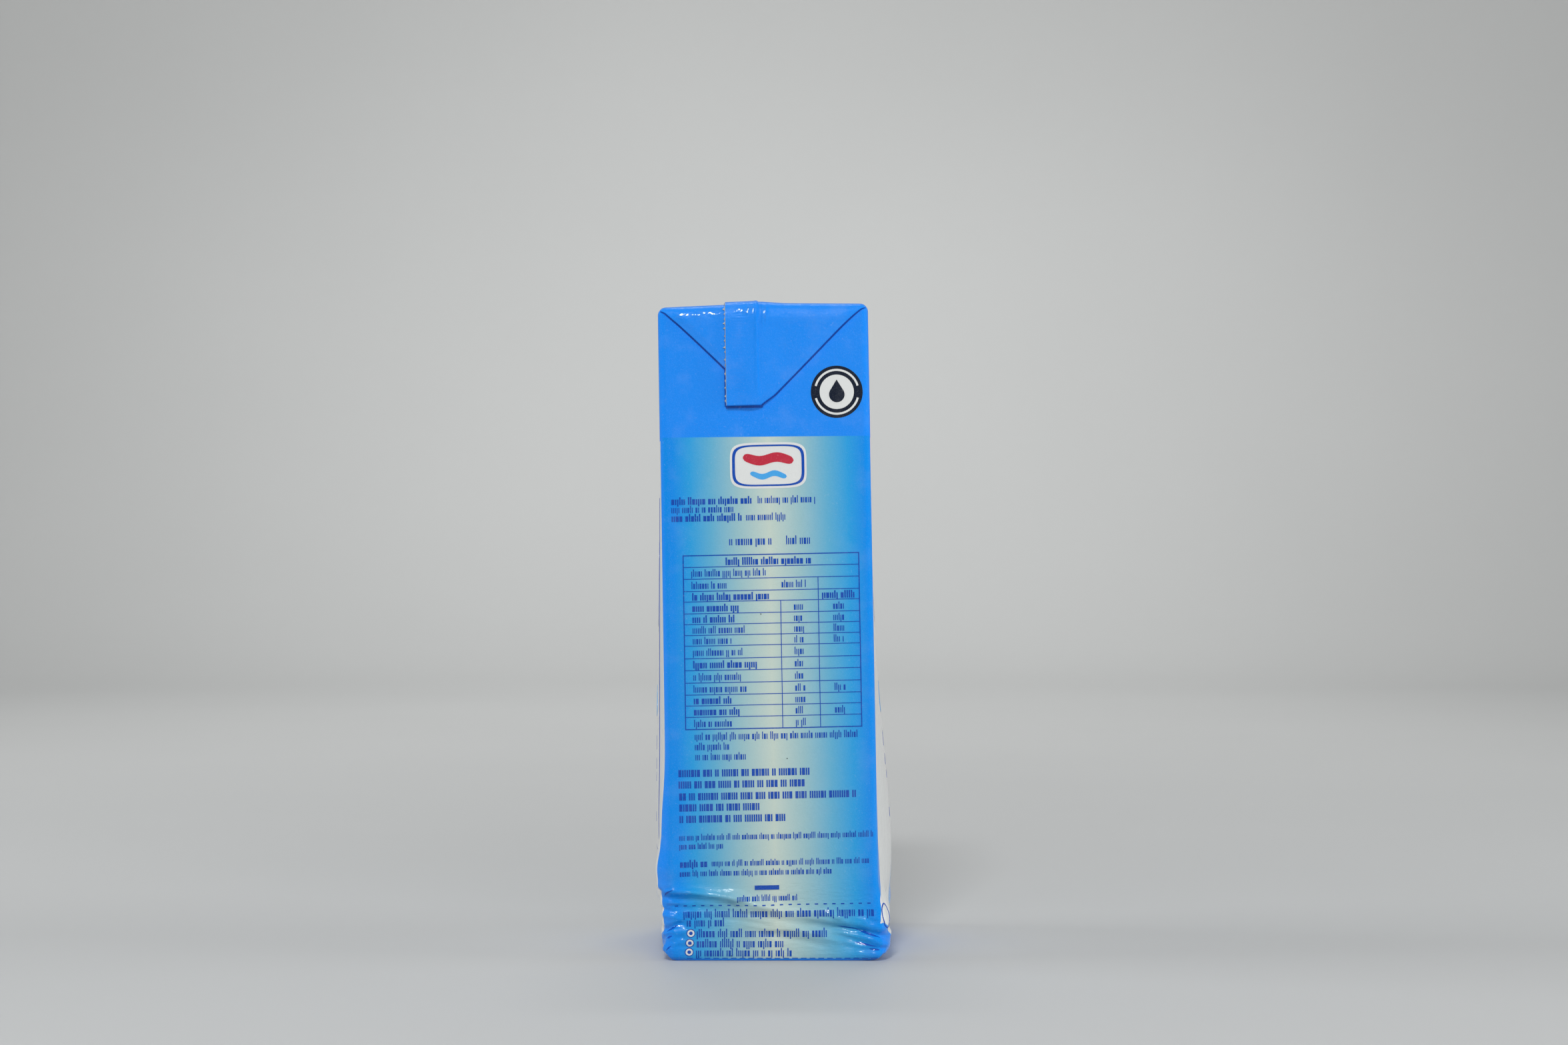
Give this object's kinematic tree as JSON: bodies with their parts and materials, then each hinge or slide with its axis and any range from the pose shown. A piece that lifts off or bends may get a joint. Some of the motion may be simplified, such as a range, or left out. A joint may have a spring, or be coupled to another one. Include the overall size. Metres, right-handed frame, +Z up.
{
  "type": "milk carton",
  "caption": "Tall filled brick carton of milk with folded-down top ears, a flattened seal fin over the top, a crumpled base, and blue and white print.",
  "frame": {"origin": "middle of the pack's plan outline, on the surface that it stands on", "axes": "+Z up along the height; -Y is the narrow side with the printed table, where an ear of the top is folded down; +X is that side's right"},
  "size_m": [0.0558, 0.0761, 0.1505],
  "materials": {
    "printed_board": "blue and white print under a thin glossy laminate",
    "cut_board": "raw, slightly fluffy cut edge of grey-brown board"
  },
  "bodies": {
    "root": {"carton": "printed_board"}
  },
  "joints": []
}
